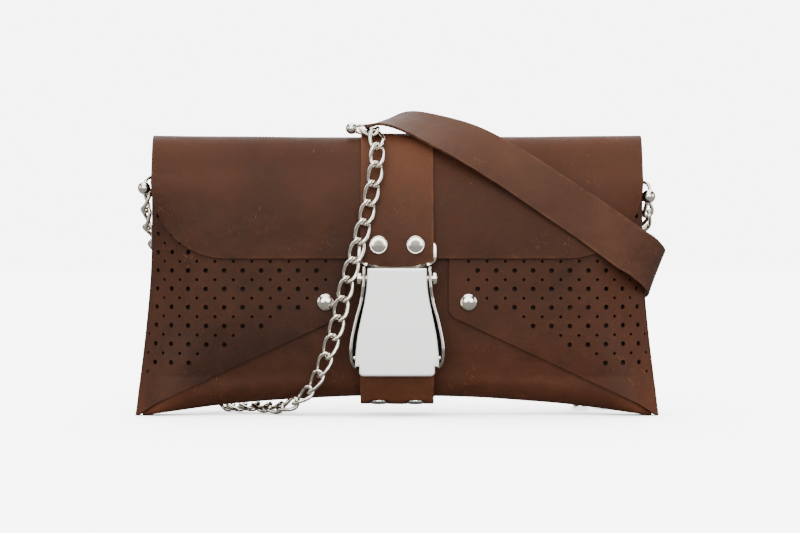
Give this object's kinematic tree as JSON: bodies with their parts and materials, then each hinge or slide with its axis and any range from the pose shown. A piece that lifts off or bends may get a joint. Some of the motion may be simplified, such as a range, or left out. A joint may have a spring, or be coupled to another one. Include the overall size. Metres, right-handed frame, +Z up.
{
  "type": "handbag",
  "caption": "Foldover leather clutch handbag with perforated side wings, a lift-lever belt buckle on a wide centre band, and a leather shoulder strap on curb chains",
  "frame": {"origin": "the middle of the base of the bounding box, on the ground the bag stands on", "axes": "+Z up, the bag's front looks along -Y, +X is to the right seen from the front; the bag is longest along X"},
  "size_m": [0.3652, 0.1296, 0.211],
  "materials": {
    "bag_leather": "dark brown oiled leather, semi-matt, worn lighter at folds",
    "band_leather": "chestnut brown oiled leather, semi-matt",
    "strap_leather": "chestnut brown oiled leather, semi-matt",
    "lever_plate": "satin nickel plate",
    "hardware": "polished nickel plate"
  },
  "bodies": {
    "bag": {"body_panel": "bag_leather", "wing_left": "bag_leather", "wing_right": "bag_leather", "flap": "bag_leather", "flap_band": "band_leather", "base_band": "band_leather", "rivet_flap_left": "hardware", "rivet_flap_right": "hardware", "rivet_base_left": "hardware", "rivet_base_right": "hardware", "rivet_back_left": "hardware", "rivet_back_right": "hardware", "stud_left": "hardware", "stud_right": "hardware", "tongue": "lever_plate", "buckle_housing": "hardware", "lever_pin": "hardware", "band_bar": "hardware", "strap": "strap_leather", "ring_bag_left": "hardware", "ring_bag_right": "hardware", "ring_strap_left": "hardware", "ring_strap_right": "hardware", "link_01": "hardware", "link_02": "hardware", "link_03": "hardware", "link_04": "hardware", "link_05": "hardware", "link_06": "hardware", "link_07": "hardware", "link_08": "hardware", "link_09": "hardware", "link_10": "hardware", "link_11": "hardware", "link_12": "hardware", "link_13": "hardware", "link_14": "hardware", "link_15": "hardware", "link_16": "hardware", "link_17": "hardware", "link_18": "hardware", "link_19": "hardware", "link_20": "hardware", "link_21": "hardware", "link_22": "hardware", "link_23": "hardware", "link_24": "hardware", "chain_left_01": "hardware", "chain_left_02": "hardware", "chain_left_03": "hardware", "chain_right_01": "hardware", "chain_right_02": "hardware", "chain_right_03": "hardware", "chain_right_04": "hardware", "chain_right_05": "hardware", "chain_right_06": "hardware", "chain_right_07": "hardware", "chain_right_08": "hardware"},
    "lever": {"buckle_lever": "lever_plate"}
  },
  "joints": [
    {"name": "lever_hinge", "type": "hinge", "parent": "bag", "child": "lever", "pos_m": [-0.00328, -0.06052, 0.0939], "axis": [-1, 0, 0], "range_deg": [0, 90]}
  ]
}
